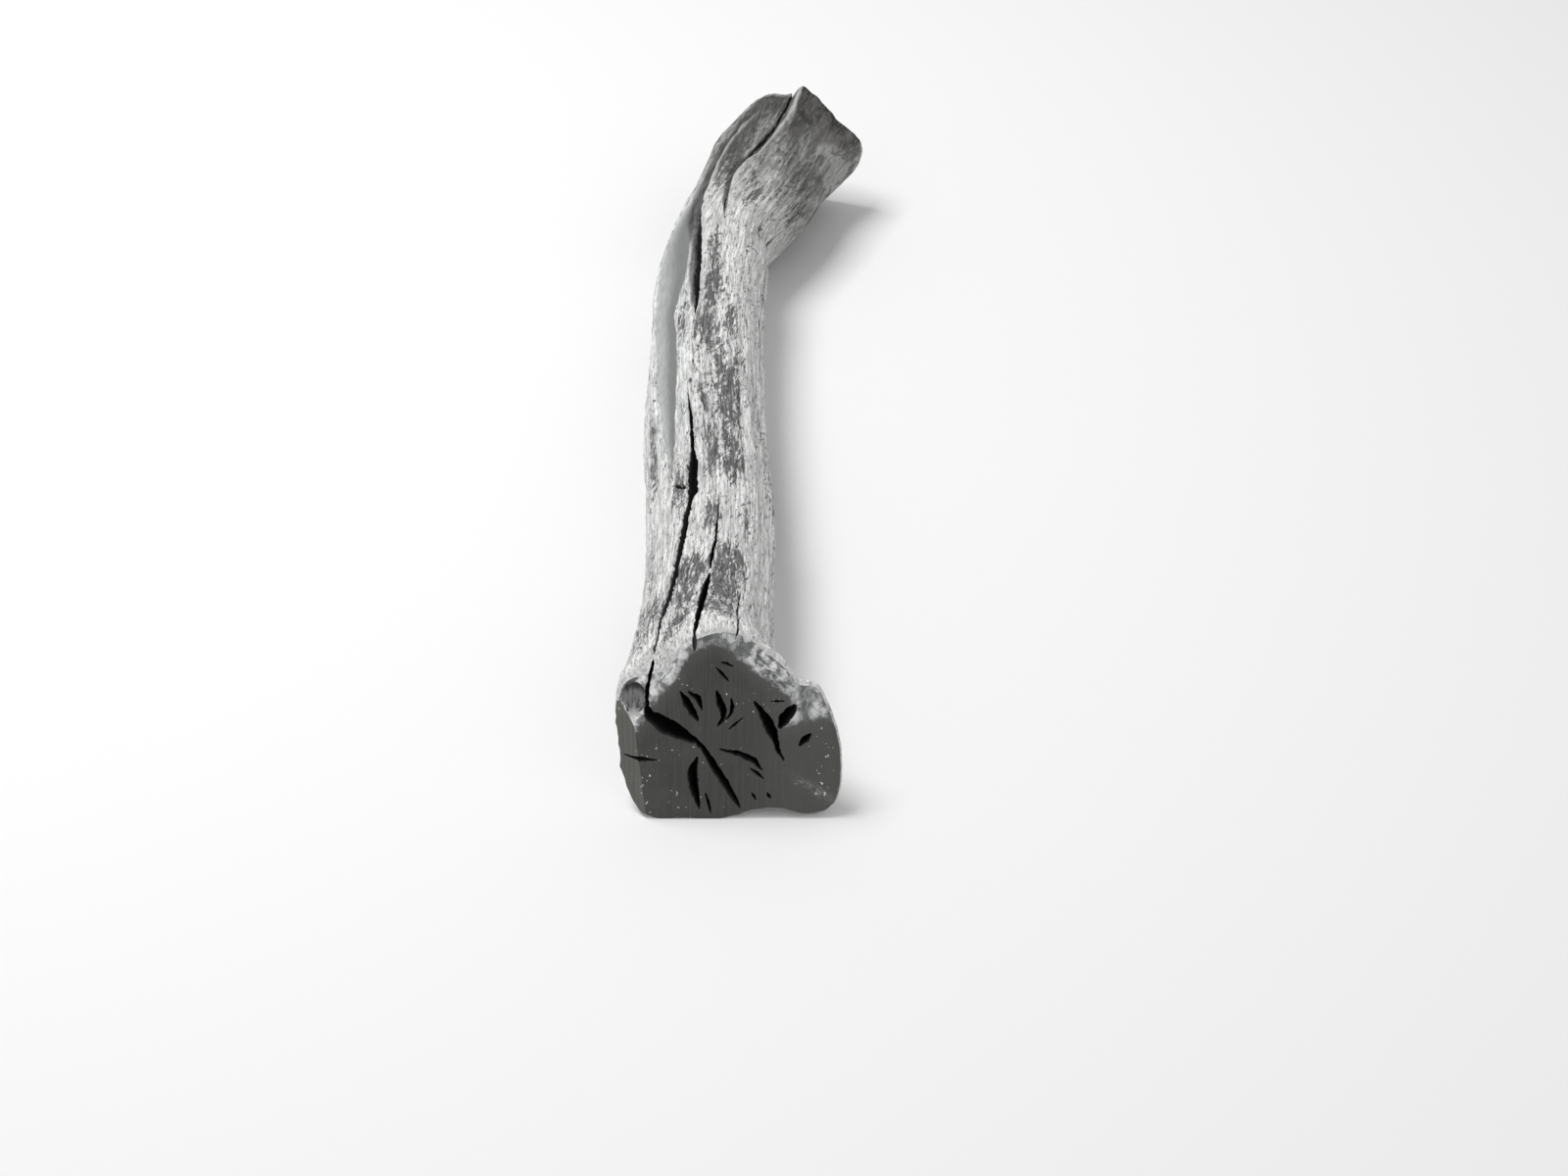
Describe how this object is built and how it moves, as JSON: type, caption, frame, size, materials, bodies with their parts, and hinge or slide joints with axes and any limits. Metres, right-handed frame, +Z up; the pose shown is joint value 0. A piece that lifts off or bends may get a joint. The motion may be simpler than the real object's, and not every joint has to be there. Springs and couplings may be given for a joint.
{
  "type": "white charcoal stick",
  "caption": "Bent stick of ash-coated white charcoal with sawn ends, a flared foot at one end and drying cracks along its grain; a solid lump of fuel that lies on its side.",
  "frame": {"origin": "centre of the footprint of the stick's box, on the surface that the stick lies on", "axes": "+Y along the stick from its flared near end to its bent far end, +X towards the side that the far end bends to, +Z up from the surface that it lies on"},
  "size_m": [0.0604, 0.2756, 0.0423],
  "materials": {
    "charcoal": "matte pale grey ash coat with dark flecks over the side, bare dark charcoal on the sawn ends and in the cracks"
  },
  "bodies": {
    "root": {"charcoal_stick": "charcoal"}
  },
  "joints": []
}
